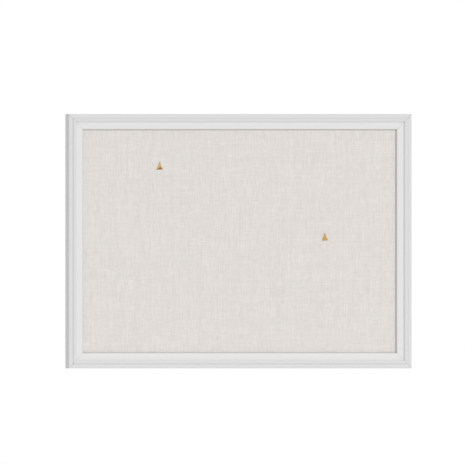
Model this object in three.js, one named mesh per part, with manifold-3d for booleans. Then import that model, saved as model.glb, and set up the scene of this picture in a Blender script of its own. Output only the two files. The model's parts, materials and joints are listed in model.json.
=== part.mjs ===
// Framed linen pin board. A mitred, moulded frame holds a linen-covered panel. Two brass push pins stand
// on the face, and turn buttons, ring hangers and wall bumpers are on the back.
// Millimetres. Seen from the front, +X is to the right and +Z is up, and the front faces -Y.
// The origin is the middle of the board on the wall, in the plane of the bumpers' rear faces.

import * as THREE from "three";
import { ConvexGeometry } from "three/addons/geometries/ConvexGeometry.js";
import { mergeVertices } from "three/addons/utils/BufferGeometryUtils.js";
import Module from "manifold-3d";

// Overall size
const BOARD_WIDTH = 665;
const BOARD_HEIGHT = 461;

// Clearances
const SEAT_GAP = 0.3; // between pieces that rest on each other
const HOLE_CLEARANCE = 0.3; // round a shank, a needle or a nail in its hole
const EYE_CLEARANCE = 0.1; // round the ring's wire in the strap's eye
const PANEL_CLEARANCE = 1; // round the panel inside the rebate
const MITRE_GAP = 0.3; // hairline between two mitred ends

// Moulding in section: widths run inwards from the outer edge, heights forwards from the back
const RAIL_FACE = 29.2;
const RAIL_DEPTH = 20; // back to the top of the fillet
const LIP_WIDTH = 7; // how far the moulding covers the panel
const EDGE_ROUND = 0.7; // radius along the outer front edge
const STEP_WIDTH = 8.3; // low step along the outer edge
const STEP_DROP = 1.4; // the step's inner edge below the fillet's top
const STEP_FALL = 0.1; // the step's fall towards the outer edge
const BEAD_INSET = 4.3; // middle of the bead that runs along the step
const BEAD_WIDTH = 2.4;
const BEAD_RISE = 0.7;
const FILLET_WIDTH = 6; // raised strip between the step and the band
const FILLET_ROUND = 0.7; // radius along the fillet's edges
const FILLET_FALL = 0.25; // the fillet's fall towards the band
const BAND_DROP = 2.8; // the band's outer edge below the fillet's top
const BAND_FALL = 0.6; // the band's fall towards the sight edge
const BAND_CROWN = 0.3;
const BEVEL_WIDTH = 1.8; // bevel along the sight edge
const BEVEL_LAND = 0.9; // edge left between the bevel and the rebate

// Panel
const CLOTH_THICKNESS = 0.8;
const CLOTH_TURN_BACK = 25; // width of the cloth that is folded behind the core
const CORE_THICKNESS = 7;
const BACKING_THICKNESS = 3;

// V nails across the mitres
const V_NAIL_SHEET = 0.6;
const V_NAIL_ARM = 5;
const V_NAIL_DEPTH = 9;
const V_NAIL_RECESS = 0.3; // how far each is driven below the back
const V_NAIL_OUTER_INSET = 5; // from the outer edge
const V_NAIL_INNER_INSET = 6; // from the rebate

// Pan-head wood screws
const SCREW_SHANK = 3; // diameter
const SCREW_LENGTH = 11; // under the head
const SCREW_POINT = 2.5;
const SCREW_HEAD = 6.4; // diameter
const SCREW_HEAD_HEIGHT = 2;
const SCREW_HEAD_EDGE = 0.8; // upright rim under the dome
const RECESS_LENGTH = 3.4; // cross recess
const RECESS_WIDTH = 0.8;
const RECESS_DEPTH = 1;

// Turn buttons
const BUTTON_SHEET = 1.2;
const BUTTON_PIVOT_RADIUS = 6;
const BUTTON_TIP_RADIUS = 4;
const BUTTON_OVERLAP = 9; // reach over the backing board
const BUTTON_END_INSET = 130; // outer buttons of a long rail, from its ends

// Ring hangers
const HANGER_DROP = 95; // ring axis below the top edge
const HANGER_INSET = 12; // middle of the strap in from the outer edge
const STRAP_WIDTH = 10;
const STRAP_SHEET = 1; // the strap is folded double
const STRAP_SCREW_DROP = 20; // ring axis to the upper screw
const STRAP_SCREW_SPACING = 12;
const STRAP_SCREW_INSET = 6; // lower screw to the lower end
const RING_WIRE = 2.4; // diameter
const RING_CORNER = 2.6; // bend radius at the ends of the straight bar
const RING_SIDE = 4; // straight side, bar to the start of the round end
const RING_BAR_CLEARANCE = 0.7; // strap edge to the start of the bend

// Wall bumpers
const BUMPER_DIAMETER = 12;
const BUMPER_FACE = 9; // diameter of the flat rear face
const BUMPER_EDGE = 2; // upright rim under the rounded part
const BUMPER_INSET = 45; // from the ends of the long rails
const HANGER_WALL_GAP = 0.6; // wall to the strap's eye

// Push pins: a three-sided pyramid on a needle
const PIN_WIDTH = 12;
const PIN_TALL = 13.5;
const PIN_RIM = 0.8; // upright edge at the base
const PIN_HEIGHT = 2.8; // base to point
const PIN_POINT = 0.7; // width of the blunted point
const NEEDLE_DIAMETER = 1.1;
const NEEDLE_BITE = 5.5; // length in the core
const NEEDLE_SOCKET = 1.5; // length in the head
const NEEDLE_POINT = 2.5;
const LEFT_PIN = { name: "left", x: -154.2, z: 134.4, turn: 0 };
const RIGHT_PIN = { name: "right", x: 166.5, z: 5.8, turn: -3 };

// Mesh fineness
const CURVE_STEPS = 5;
const ROUND_STEPS = 12;
const RING_STEPS = 48;
const WIRE_SIDES = 8;

// Worked-out sizes
const QUARTER_TURN = Math.PI / 2;
const backWidth = RAIL_FACE - LIP_WIDTH; // flat back of a rail, outer edge to rebate
const rebateDepth = BACKING_THICKNESS + CORE_THICKNESS + 2 * CLOTH_THICKNESS + 4 * SEAT_GAP;
const panelWidth = BOARD_WIDTH - 2 * (backWidth + PANEL_CLEARANCE);
const panelHeight = BOARD_HEIGHT - 2 * (backWidth + PANEL_CLEARANCE);
const clothWrap = CLOTH_THICKNESS + SEAT_GAP; // cloth and its gap on each side of the core
const eyeBore = RING_WIRE / 2 + EYE_CLEARANCE;
const eyeRadius = eyeBore + STRAP_SHEET;
const standoff = SEAT_GAP + 2 * eyeRadius + HANGER_WALL_GAP; // wall to the back of the frame
const screwHole = SCREW_SHANK / 2 + HOLE_CLEARANCE;
const needleHole = NEEDLE_DIAMETER / 2 + HOLE_CLEARANCE;
const strapScrewDrops = [STRAP_SCREW_DROP, STRAP_SCREW_DROP + STRAP_SCREW_SPACING];
const strapLength = strapScrewDrops[1] + STRAP_SCREW_INSET; // ring axis to the lower end
const vNailInsets = { outer: V_NAIL_OUTER_INSET, inner: backWidth - V_NAIL_INNER_INSET };
const hangerHeight = BOARD_HEIGHT / 2 - HANGER_DROP;

// Each rail's own frame: x runs along it, z inwards from its outer edge, and the back lies at y = 0.
// On a side rail, up says which way along x is up on the wall. On a long rail, ends names its two ends.
const sides = [
  { name: "bottom", turn: 0, length: BOARD_WIDTH, ends: ["left", "right"] },
  { name: "right", turn: -QUARTER_TURN, length: BOARD_HEIGHT, up: 1 },
  { name: "top", turn: Math.PI, length: BOARD_WIDTH, ends: ["right", "left"] },
  { name: "left", turn: QUARTER_TURN, length: BOARD_HEIGHT, up: -1 },
];

const corners = [
  { name: "bottom_left", turn: 0, x: -1, z: -1 },
  { name: "bottom_right", turn: -QUARTER_TURN, x: 1, z: -1 },
  { name: "top_right", turn: Math.PI, x: 1, z: 1 },
  { name: "top_left", turn: QUARTER_TURN, x: -1, z: 1 },
];

// Finishes
function finish(color, roughness, metalness) {
  return () => new THREE.MeshStandardMaterial({ color, roughness, metalness });
}

const whitePaint = finish(0xe6e6e5, 0.5, 0);
const linen = finish(0xe1dcd8, 0.9, 0);
const fibreboard = finish(0xb59a74, 0.95, 0);
const hardboard = finish(0x7a5a3c, 0.7, 0);
const zincPlate = finish(0xb8bcc0, 0.35, 1);
const nailSteel = finish(0x8c8f92, 0.45, 1);
const brass = finish(0xc8a45c, 0.3, 1);
const blackRubber = finish(0x2a2a2b, 0.8, 0);

// Booleans
const wasm = await Module();
wasm.setup();

function solidOf(geometry) {
  const bare = geometry.clone();
  bare.deleteAttribute("normal");
  bare.deleteAttribute("uv");
  const merged = mergeVertices(bare, 1e-4);
  const triVerts = new Uint32Array(merged.index.array);
  return new wasm.Manifold(
    new wasm.Mesh({ numProp: 3, vertProperties: merged.attributes.position.array, triVerts }),
  );
}

function cut(geometry, cutters) {
  let solid = solidOf(geometry);
  for (const cutter of cutters) {
    solid = solid.subtract(solidOf(cutter));
  }
  const made = solid.getMesh();
  const result = new THREE.BufferGeometry();
  result.setAttribute("position", new THREE.BufferAttribute(made.vertProperties, 3));
  result.setIndex(new THREE.BufferAttribute(made.triVerts, 1));
  result.computeVertexNormals();
  return result;
}

// A round hole along Y, from its mouth at y = mouth to y = end.
function drill(radius, x, mouth, end, z) {
  const hole = new THREE.CylinderGeometry(radius, radius, Math.abs(end - mouth), ROUND_STEPS);
  return hole.translate(x, (mouth + end) / 2, z);
}

// A box between two y values, by its middle and size in x and z.
function slab(width, height, front, rear, x = 0, z = 0) {
  const box = new THREE.BoxGeometry(width, rear - front, height);
  return box.translate(x, (front + rear) / 2, z);
}

// A flat outline in x and z, given thickness from y = front to y = rear.
function plate(outline, front, rear) {
  const settings = { depth: rear - front, bevelEnabled: false, curveSegments: CURVE_STEPS };
  return new THREE.ExtrudeGeometry(outline, settings).rotateX(QUARTER_TURN).translate(0, rear, 0);
}

function lathe(profile) {
  return new THREE.LatheGeometry(
    profile.map(([radius, y]) => new THREE.Vector2(radius, y)),
    ROUND_STEPS,
  );
}

function named(name, geometry, material) {
  const mesh = new THREE.Mesh(geometry, material());
  mesh.name = name;
  return mesh;
}

// Frame rails
// Section: flat back and rebate, bevelled sight edge, crowned band, raised fillet, low outer step with a
// bead, which is the top of a circle.
function mouldingSection() {
  const bandInnerEdge = RAIL_FACE - BEVEL_WIDTH;
  const bandOuterEdge = STEP_WIDTH + FILLET_WIDTH;
  const bandHeight = RAIL_DEPTH - BAND_DROP;
  const sightHeight = bandHeight - BAND_FALL;
  const filletEnd = RAIL_DEPTH - FILLET_FALL;
  const stepHeight = RAIL_DEPTH - STEP_DROP;
  const edgeHeight = stepHeight - STEP_FALL;
  const beadRadius = ((BEAD_WIDTH / 2) ** 2 + BEAD_RISE ** 2) / (2 * BEAD_RISE);
  const beadLean = Math.asin(BEAD_WIDTH / 2 / beadRadius);
  const beadMiddle = stepHeight - STEP_FALL / 2 + BEAD_RISE - beadRadius;
  const section = new THREE.Shape();
  section.moveTo(0, 0);
  section.lineTo(backWidth, 0);
  section.lineTo(backWidth, rebateDepth);
  section.lineTo(RAIL_FACE, rebateDepth);
  section.lineTo(RAIL_FACE, rebateDepth + BEVEL_LAND);
  section.lineTo(bandInnerEdge, sightHeight);
  section.quadraticCurveTo(
    (bandInnerEdge + bandOuterEdge) / 2,
    (bandHeight + sightHeight) / 2 + 2 * BAND_CROWN,
    bandOuterEdge,
    bandHeight,
  );
  section.lineTo(bandOuterEdge, filletEnd - FILLET_ROUND);
  section.absarc(bandOuterEdge - FILLET_ROUND, filletEnd - FILLET_ROUND, FILLET_ROUND, 0, QUARTER_TURN);
  section.lineTo(STEP_WIDTH + FILLET_ROUND, RAIL_DEPTH);
  section.absarc(STEP_WIDTH + FILLET_ROUND, RAIL_DEPTH - FILLET_ROUND, FILLET_ROUND, QUARTER_TURN, Math.PI);
  section.lineTo(STEP_WIDTH, stepHeight);
  section.absarc(BEAD_INSET, beadMiddle, beadRadius, QUARTER_TURN - beadLean, QUARTER_TURN + beadLean);
  section.lineTo(EDGE_ROUND, edgeHeight);
  section.absarc(EDGE_ROUND, edgeHeight - EDGE_ROUND, EDGE_ROUND, QUARTER_TURN, Math.PI);
  section.closePath();
  return section;
}

// The section is carried along the rail, and each point's end is drawn in by its inset, which mitres it.
function railBlank(length) {
  const settings = { depth: 1, bevelEnabled: false, curveSegments: CURVE_STEPS };
  const blank = new THREE.ExtrudeGeometry(mouldingSection(), settings);
  const mitreRelief = MITRE_GAP * Math.SQRT2;
  const points = blank.attributes.position;
  for (let i = 0; i < points.count; i += 1) {
    const inset = points.getX(i);
    const height = points.getY(i);
    const along = points.getZ(i) - 0.5;
    points.setXYZ(i, along * (length - 2 * inset - mitreRelief), -height, inset);
  }
  return blank;
}

function vNailSlots(length) {
  const slots = [];
  for (const inset of Object.values(vNailInsets)) {
    const armMiddle = length / 2 - inset - V_NAIL_ARM / 2;
    for (const end of [-1, 1]) {
      slots.push(
        slab(
          V_NAIL_ARM + 2 * HOLE_CLEARANCE,
          V_NAIL_SHEET + 2 * HOLE_CLEARANCE,
          -(V_NAIL_RECESS + V_NAIL_DEPTH + HOLE_CLEARANCE),
          HOLE_CLEARANCE,
          end * armMiddle,
          inset + V_NAIL_SHEET / 2,
        ),
      );
    }
  }
  return slots;
}

// Pilot hole for a screw whose head is seated this far behind the rail's back.
function pilotHole(x, inset, headSeat) {
  return drill(screwHole, x, HOLE_CLEARANCE, headSeat - SCREW_LENGTH - HOLE_CLEARANCE, inset);
}

const buttonHeadSeat = BUTTON_SHEET + 2 * SEAT_GAP;
const strapHeadSeat = 2 * STRAP_SHEET + 2 * SEAT_GAP;

function rail(side) {
  const holes = vNailSlots(side.length);
  for (const x of Object.values(buttonPlaces(side))) {
    holes.push(pilotHole(x, backWidth / 2, buttonHeadSeat));
  }
  if (side.up) {
    for (const drop of strapScrewDrops) {
      holes.push(pilotHole(side.up * (hangerHeight - drop), HANGER_INSET, strapHeadSeat));
    }
  }
  return named(`${side.name}_rail`, cut(railBlank(side.length), holes), whitePaint);
}

// Screws
// The axis runs along Y: the head stands behind y = 0 and the shank points forwards.
function screw(name) {
  const headRadius = SCREW_HEAD / 2;
  const shankRadius = SCREW_SHANK / 2;
  const profile = [
    [0, -SCREW_LENGTH],
    [shankRadius, SCREW_POINT - SCREW_LENGTH],
    [shankRadius, 0],
    [headRadius, 0],
    [headRadius, SCREW_HEAD_EDGE],
  ];
  const dome = SCREW_HEAD_HEIGHT - SCREW_HEAD_EDGE;
  for (let step = 1; step < CURVE_STEPS; step += 1) {
    const angle = (step / CURVE_STEPS) * QUARTER_TURN;
    profile.push([headRadius * Math.cos(angle), SCREW_HEAD_EDGE + dome * Math.sin(angle)]);
  }
  profile.push([0, SCREW_HEAD_HEIGHT]);
  const floor = SCREW_HEAD_HEIGHT - RECESS_DEPTH;
  const above = SCREW_HEAD_HEIGHT + HOLE_CLEARANCE;
  const recess = [
    slab(RECESS_LENGTH, RECESS_WIDTH, floor, above),
    slab(RECESS_WIDTH, RECESS_LENGTH, floor, above),
  ];
  return named(name, cut(lathe(profile), recess), zincPlate);
}

// Turn buttons
// A tapered tag: two round ends joined by their outer tangents, with the pivot hole in the larger one.
function turnButton(name) {
  const reach = backWidth / 2 + BUTTON_OVERLAP - BUTTON_TIP_RADIUS;
  const lean = Math.asin((BUTTON_PIVOT_RADIUS - BUTTON_TIP_RADIUS) / reach);
  const outline = new THREE.Shape();
  outline.absarc(0, 0, BUTTON_PIVOT_RADIUS, Math.PI - lean, 2 * Math.PI + lean);
  outline.absarc(0, reach, BUTTON_TIP_RADIUS, lean, Math.PI - lean);
  outline.closePath();
  const tag = plate(outline, SEAT_GAP, SEAT_GAP + BUTTON_SHEET);
  const hole = drill(screwHole, 0, 0, BUTTON_SHEET + 2 * SEAT_GAP, 0);
  return named(name, cut(tag, [hole]), zincPlate);
}

// Where a rail's turn buttons sit along it, by name: three on a long rail and one on a side rail.
function buttonPlaces(side) {
  if (side.up) {
    return { [side.name]: 0 };
  }
  const [start, end] = side.ends;
  const outermost = side.length / 2 - BUTTON_END_INSET;
  return {
    [`${side.name}_${start}`]: -outermost,
    [`${side.name}_middle`]: 0,
    [`${side.name}_${end}`]: outermost,
  };
}

// Wall bumpers
function bumper(name) {
  const rim = BUMPER_DIAMETER / 2;
  const face = BUMPER_FACE / 2;
  const shoulder = SEAT_GAP + BUMPER_EDGE;
  const profile = [
    [0, SEAT_GAP],
    [rim, SEAT_GAP],
  ];
  for (let step = 0; step <= CURVE_STEPS; step += 1) {
    const angle = (step / CURVE_STEPS) * QUARTER_TURN;
    profile.push([
      face + (rim - face) * Math.cos(angle),
      shoulder + (standoff - shoulder) * Math.sin(angle),
    ]);
  }
  profile.push([0, standoff]);
  return named(name, lathe(profile), blackRubber);
}

// One side of the frame with everything that is fastened to that rail alone
function sideGroup(side) {
  const group = new THREE.Group();
  group.add(rail(side));
  for (const [place, x] of Object.entries(buttonPlaces(side))) {
    const button = turnButton(`turn_button_${place}`);
    const buttonScrew = screw(`turn_button_screw_${place}`);
    button.position.set(x, 0, backWidth / 2);
    buttonScrew.position.set(x, buttonHeadSeat, backWidth / 2);
    group.add(button, buttonScrew);
  }
  const bumperReach = side.length / 2 - BUMPER_INSET;
  (side.ends ?? []).forEach((end, i) => {
    const pad = bumper(`wall_bumper_${side.name}_${end}`);
    pad.position.set(i ? bumperReach : -bumperReach, 0, backWidth / 2);
    group.add(pad);
  });
  const outerEdge = (side.up ? BOARD_WIDTH : BOARD_HEIGHT) / 2;
  group.rotation.y = side.turn;
  group.position.set(0, 0, -outerEdge).applyEuler(group.rotation);
  return group;
}

// V nails
// An angle in plan, its heel on the mitre line and one arm in each rail.
function vNail(name, inset) {
  const heel = inset;
  const inside = inset + V_NAIL_SHEET;
  const tip = inset + V_NAIL_ARM;
  const outline = new THREE.Shape();
  outline.moveTo(heel, heel);
  outline.lineTo(tip, heel);
  outline.lineTo(tip, inside);
  outline.lineTo(inside, inside);
  outline.lineTo(inside, tip);
  outline.lineTo(heel, tip);
  outline.closePath();
  return named(name, plate(outline, -V_NAIL_RECESS - V_NAIL_DEPTH, -V_NAIL_RECESS), nailSteel);
}

function cornerGroup(corner) {
  const group = new THREE.Group();
  for (const [place, inset] of Object.entries(vNailInsets)) {
    group.add(vNail(`v_nail_${corner.name}_${place}`, inset));
  }
  group.rotation.y = corner.turn;
  group.position.set((corner.x * BOARD_WIDTH) / 2, 0, (corner.z * BOARD_HEIGHT) / 2);
  return group;
}

// Panel
// y runs back from the linen's front face, which lies one gap behind the rebate's shoulder.
function panelGroup() {
  const coreFront = clothWrap;
  const coreRear = coreFront + CORE_THICKNESS;
  const clothRear = coreRear + clothWrap;
  const backingFront = clothRear + SEAT_GAP;
  const coreWidth = panelWidth - 2 * clothWrap;
  const coreHeight = panelHeight - 2 * clothWrap;
  const pins = [LEFT_PIN, RIGHT_PIN];

  const pocket = slab(
    panelWidth - 2 * CLOTH_THICKNESS,
    panelHeight - 2 * CLOTH_THICKNESS,
    CLOTH_THICKNESS,
    clothRear - CLOTH_THICKNESS,
  );
  const window = slab(
    panelWidth - 2 * CLOTH_TURN_BACK,
    panelHeight - 2 * CLOTH_TURN_BACK,
    coreFront,
    backingFront,
  );
  const needleHoles = pins.map((pin) =>
    drill(needleHole, pin.x, -SEAT_GAP, coreFront + NEEDLE_BITE + HOLE_CLEARANCE, pin.z),
  );
  const cover = slab(panelWidth, panelHeight, 0, clothRear);
  const core = slab(coreWidth, coreHeight, coreFront, coreRear);
  const backing = slab(panelWidth, panelHeight, backingFront, backingFront + BACKING_THICKNESS);

  const group = new THREE.Group();
  group.add(
    named("linen_cover", cut(cover, [pocket, window, ...needleHoles]), linen),
    named("pinning_core", cut(core, needleHoles), fibreboard),
    named("backing_board", backing, hardboard),
  );
  for (const pin of pins) {
    group.add(pinGroup(pin));
  }
  group.position.y = SEAT_GAP - rebateDepth;
  return group;
}

// Push pins
// The base lies one gap in front of the linen, with the needle at the middle of the triangle.
function pinHead(name) {
  const levels = [
    [0, 1],
    [-PIN_RIM, 1],
    [-PIN_HEIGHT, PIN_POINT / PIN_WIDTH],
  ];
  const points = levels.flatMap(([y, share]) => [
    new THREE.Vector3(0, y, (share * PIN_TALL * 2) / 3),
    new THREE.Vector3((-share * PIN_WIDTH) / 2, y, (-share * PIN_TALL) / 3),
    new THREE.Vector3((share * PIN_WIDTH) / 2, y, (-share * PIN_TALL) / 3),
  ]);
  const socket = drill(needleHole, 0, HOLE_CLEARANCE, -NEEDLE_SOCKET - HOLE_CLEARANCE, 0);
  return named(name, cut(new ConvexGeometry(points), [socket]), brass);
}

function pinNeedle(name) {
  const radius = NEEDLE_DIAMETER / 2;
  const point = SEAT_GAP + clothWrap + NEEDLE_BITE;
  const profile = [
    [0, -NEEDLE_SOCKET],
    [radius, -NEEDLE_SOCKET],
    [radius, point - NEEDLE_POINT],
    [0, point],
  ];
  return named(name, lathe(profile), nailSteel);
}

function pinGroup(pin) {
  const group = new THREE.Group();
  group.add(pinHead(`${pin.name}_pin_head`), pinNeedle(`${pin.name}_pin_needle`));
  group.position.set(pin.x, -SEAT_GAP, pin.z);
  group.rotation.y = THREE.MathUtils.degToRad(pin.turn);
  return group;
}

// Ring hangers
// The ring's axis is at z = 0. The strap runs down from its eye, seated against the rail's back at y = 0.
function hangerStrap(name) {
  const rear = 2 * STRAP_SHEET;
  const eyeFoot = -Math.sqrt(eyeRadius ** 2 - (rear - eyeRadius) ** 2);
  const outline = new THREE.Shape();
  outline.moveTo(0, -strapLength);
  outline.lineTo(rear, -strapLength);
  outline.absarc(eyeRadius, 0, eyeRadius, Math.atan2(eyeFoot, rear - eyeRadius), Math.PI);
  outline.closePath();
  const bore = new THREE.Path();
  bore.absarc(eyeRadius, 0, eyeBore, 0, 2 * Math.PI, true);
  outline.holes.push(bore);
  const settings = { depth: STRAP_WIDTH, bevelEnabled: false, curveSegments: ROUND_STEPS };
  const strap = new THREE.ExtrudeGeometry(outline, settings);
  const axes = new THREE.Matrix4().makeBasis(
    new THREE.Vector3(0, 1, 0),
    new THREE.Vector3(0, 0, 1),
    new THREE.Vector3(1, 0, 0),
  );
  strap.applyMatrix4(axes).translate(-STRAP_WIDTH / 2, SEAT_GAP, 0);
  const holes = strapScrewDrops.map((drop) => drill(screwHole, 0, 0, strapHeadSeat, -drop));
  return named(name, cut(strap, holes), zincPlate);
}

// A bent wire: straight bar through the eye, two bends, short sides and a round end. At rest it hangs
// down and leans back just enough to lie on the strap.
function hangerRing(name) {
  const half = STRAP_WIDTH / 2 + RING_BAR_CLEARANCE + RING_CORNER;
  const barEnd = half - RING_CORNER;
  const line = new THREE.Path();
  line.moveTo(-barEnd, 0);
  line.lineTo(barEnd, 0);
  line.absarc(barEnd, -RING_CORNER, RING_CORNER, QUARTER_TURN, 0, true);
  line.lineTo(half, -RING_SIDE);
  line.absarc(0, -RING_SIDE, half, 0, -Math.PI, true);
  line.lineTo(-half, -RING_CORNER);
  line.absarc(-barEnd, -RING_CORNER, RING_CORNER, Math.PI, QUARTER_TURN, true);
  const points = line.getSpacedPoints(RING_STEPS).slice(0, -1);
  const route = new THREE.CatmullRomCurve3(
    points.map((point) => new THREE.Vector3(point.x, 0, point.y)),
    true,
  );
  const wire = new THREE.TubeGeometry(route, RING_STEPS, RING_WIRE / 2, WIRE_SIDES, true);
  const ring = named(name, wire, zincPlate);
  const restingRise = 2 * STRAP_SHEET + SEAT_GAP + RING_WIRE / 2 - eyeRadius;
  ring.rotation.x = Math.asin(restingRise / (RING_SIDE + half));
  ring.position.y = SEAT_GAP + eyeRadius;
  return ring;
}

function hangerGroup(name, towards) {
  const group = new THREE.Group();
  group.add(hangerStrap(`${name}_hanger_strap`), hangerRing(`${name}_hanger_ring`));
  strapScrewDrops.forEach((drop, i) => {
    const strapScrew = screw(`${name}_hanger_screw_${["upper", "lower"][i]}`);
    strapScrew.position.set(0, strapHeadSeat, -drop);
    group.add(strapScrew);
  });
  group.position.set(towards * (BOARD_WIDTH / 2 - HANGER_INSET), 0, hangerHeight);
  return group;
}

// Assembly: everything hangs one standoff in front of the wall
const board = new THREE.Group();
board.add(...sides.map(sideGroup), ...corners.map(cornerGroup), panelGroup());
board.add(hangerGroup("left", -1), hangerGroup("right", 1));
board.position.y = -standoff;

const pinBoard = new THREE.Group();
pinBoard.add(board);

export default pinBoard;
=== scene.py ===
"""Looks of a framed linen pin board, modelled round its packed construction.

Metres, in the construction's own frame: seen from the front, +X is to the right and +Z is up, and the
front faces -Y. Each piece is a surface worked out with numpy, placed by the node that it stands for.
"""

import json
import math
from functools import partial

import bmesh
import bpy
import numpy as np
from bpy.props import FloatProperty, FloatVectorProperty, PointerProperty
from mathutils import Matrix, Vector


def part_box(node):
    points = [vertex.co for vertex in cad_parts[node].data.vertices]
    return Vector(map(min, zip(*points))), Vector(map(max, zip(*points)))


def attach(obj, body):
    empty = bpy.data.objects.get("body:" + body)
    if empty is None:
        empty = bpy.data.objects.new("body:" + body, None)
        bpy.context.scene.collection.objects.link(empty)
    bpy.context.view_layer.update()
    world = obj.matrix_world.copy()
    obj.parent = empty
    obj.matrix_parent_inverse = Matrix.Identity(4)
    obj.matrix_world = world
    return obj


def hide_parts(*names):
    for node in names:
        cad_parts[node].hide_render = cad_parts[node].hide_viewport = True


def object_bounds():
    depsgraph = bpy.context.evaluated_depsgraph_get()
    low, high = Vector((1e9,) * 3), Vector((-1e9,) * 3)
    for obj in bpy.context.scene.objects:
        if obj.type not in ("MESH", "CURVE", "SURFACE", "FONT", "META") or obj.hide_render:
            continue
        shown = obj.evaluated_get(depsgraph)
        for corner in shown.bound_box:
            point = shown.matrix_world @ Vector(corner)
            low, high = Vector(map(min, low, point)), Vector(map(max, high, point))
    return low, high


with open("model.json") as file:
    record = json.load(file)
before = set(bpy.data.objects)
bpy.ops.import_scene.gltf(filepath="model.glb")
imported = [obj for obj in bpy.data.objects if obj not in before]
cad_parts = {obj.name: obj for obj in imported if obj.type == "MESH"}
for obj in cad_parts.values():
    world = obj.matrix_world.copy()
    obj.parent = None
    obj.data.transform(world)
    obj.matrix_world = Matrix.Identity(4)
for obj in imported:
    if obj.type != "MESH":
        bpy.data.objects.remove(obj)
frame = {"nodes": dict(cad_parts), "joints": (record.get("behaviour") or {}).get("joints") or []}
CAD_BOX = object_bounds()

bl_info = {
    "name": "Framed Linen Pin Board",
    "version": (1, 0, 0),
    "blender": (4, 5, 0),
    "location": "3D View > Sidebar > Pin Board",
    "description": "Makes the finished surfaces of a framed linen pin board round its construction",
    "category": "Object",
}

MM = 0.001
QUARTER_TURN = math.pi / 2
FULL_TURN = 2 * math.pi

# Sides of the frame and how far each is turned about Y from the bottom one
RAIL_TURNS = {"bottom": 0, "right": -QUARTER_TURN, "top": math.pi, "left": QUARTER_TURN}
CORNERS = ("bottom_left", "bottom_right", "top_right", "top_left")
NAIL_PLACES = ("outer", "inner")
SIDES = ("left", "right")
BUTTON_PLACES = (
    "top_left", "top_middle", "top_right", "bottom_left", "bottom_middle", "bottom_right", "left", "right",
)
HANGER_SCREWS = ("upper", "lower")
HINGES = {joint["name"]: np.array(joint.get("pos_m", (0, 0, 0))) for joint in frame["joints"]}

# Fineness of the surfaces, and what is left of a turned piece's radius at its tip
CURVE_STEPS = 16
ROUND_STEPS = 64
EASE_STEPS = 4
SMOOTH_BELOW = math.radians(32)
SAME_PLACE = 0.0001 * MM
TIP_SHARE = 0.05


# Settings


def linear(digits):
    """sRGB hex digits as linear red, green and blue, by undoing the sRGB transfer curve."""
    shares = np.array([int(digits[i : i + 2], 16) for i in (0, 2, 4)]) / 255
    return np.where(shares <= 0.04045, shares / 12.92, ((shares + 0.055) / 1.055) ** 2.4).tolist()


def length(name, description, millimetres):
    """A length in metres, given in millimetres."""
    return FloatProperty(
        name=name, description=description, default=millimetres * MM, unit="LENGTH", precision=5
    )


def angle(name, description, degrees):
    """An angle in radians, given in degrees."""
    return FloatProperty(
        name=name, description=description, default=math.radians(degrees), subtype="ANGLE"
    )


def colour(name, description, digits):
    """A linear colour, given in sRGB hex digits."""
    return FloatVectorProperty(
        name=name, description=description, default=linear(digits), subtype="COLOR", min=0, max=1
    )


class PINBOARD_PG_moulding(bpy.types.PropertyGroup):
    """The painted moulding of the frame"""

    lip_width: length("Lip width", "How far the moulding covers the panel", 7)
    edge_round: length("Edge round", "Radius along the outer front edge", 0.7)
    step_width: length("Step width", "Width of the low step along the outer edge", 8.3)
    step_drop: length("Step drop", "The step's inner edge below the top of the fillet", 1.4)
    step_fall: length("Step fall", "How far the step falls towards the outer edge", 0.1)
    bead_inset: length("Bead inset", "Middle of the step's bead, from the outer edge", 4.3)
    bead_width: length("Bead width", "Width of the bead along the step", 2.4)
    bead_rise: length("Bead rise", "Height of the bead above the step", 0.7)
    fillet_width: length("Fillet width", "Width of the raised fillet between step and band", 6.0)
    fillet_round: length("Fillet round", "Radius along the fillet's edges", 0.7)
    fillet_fall: length("Fillet fall", "How far the fillet falls towards the band", 0.25)
    band_drop: length("Band drop", "The band's outer edge below the top of the fillet", 2.8)
    band_fall: length("Band fall", "How far the band falls towards the sight edge", 0.6)
    band_crown: length("Band crown", "Rise of the band between its edges", 0.3)
    bevel_width: length("Bevel width", "Width of the bevel along the sight edge", 1.8)
    bevel_land: length("Bevel land", "Edge left between the bevel and the rebate", 0.9)
    bevel_ease: length("Bevel ease", "How far the bevel's edges are rounded", 0.2)
    arris_round: length("Arris round", "Radius along the back edges", 0.6)
    mitre_gap: length("Mitre gap", "Hairline between two mitred ends", 0.04)
    mitre_ease: length("Mitre ease", "How far the paint draws back along a mitre", 0.45)
    nail_slot: length("Nail slot", "Room round a V nail in its slot", 0.15)
    nail_sheet: length("Nail sheet", "Thickness of a V nail", 0.6)
    paint: colour("Paint", "Satin white paint", "E2E2E2")
    # Painted shade: a greyer white on the step and the fillet, for the shade that the stepped outer part of
    # the moulding falls into
    step_shade_paint: colour("Thin paint", "The paint's tone on the step and the fillet", "DADADB")
    # Painted shade: a darker warm tone on the sight edge's bevel and the land under it, for the shadow where
    # the moulding meets the linen
    bevel_shade_paint: colour("Bevel paint", "The paint's tone on the sight edge's bevel", "CCC7C3")
    brush_width: length("Brush mark width", "Spacing of the marks left across the rail", 0.9)
    brush_length: length("Brush mark length", "Length of those marks along the rail", 70)


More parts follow.
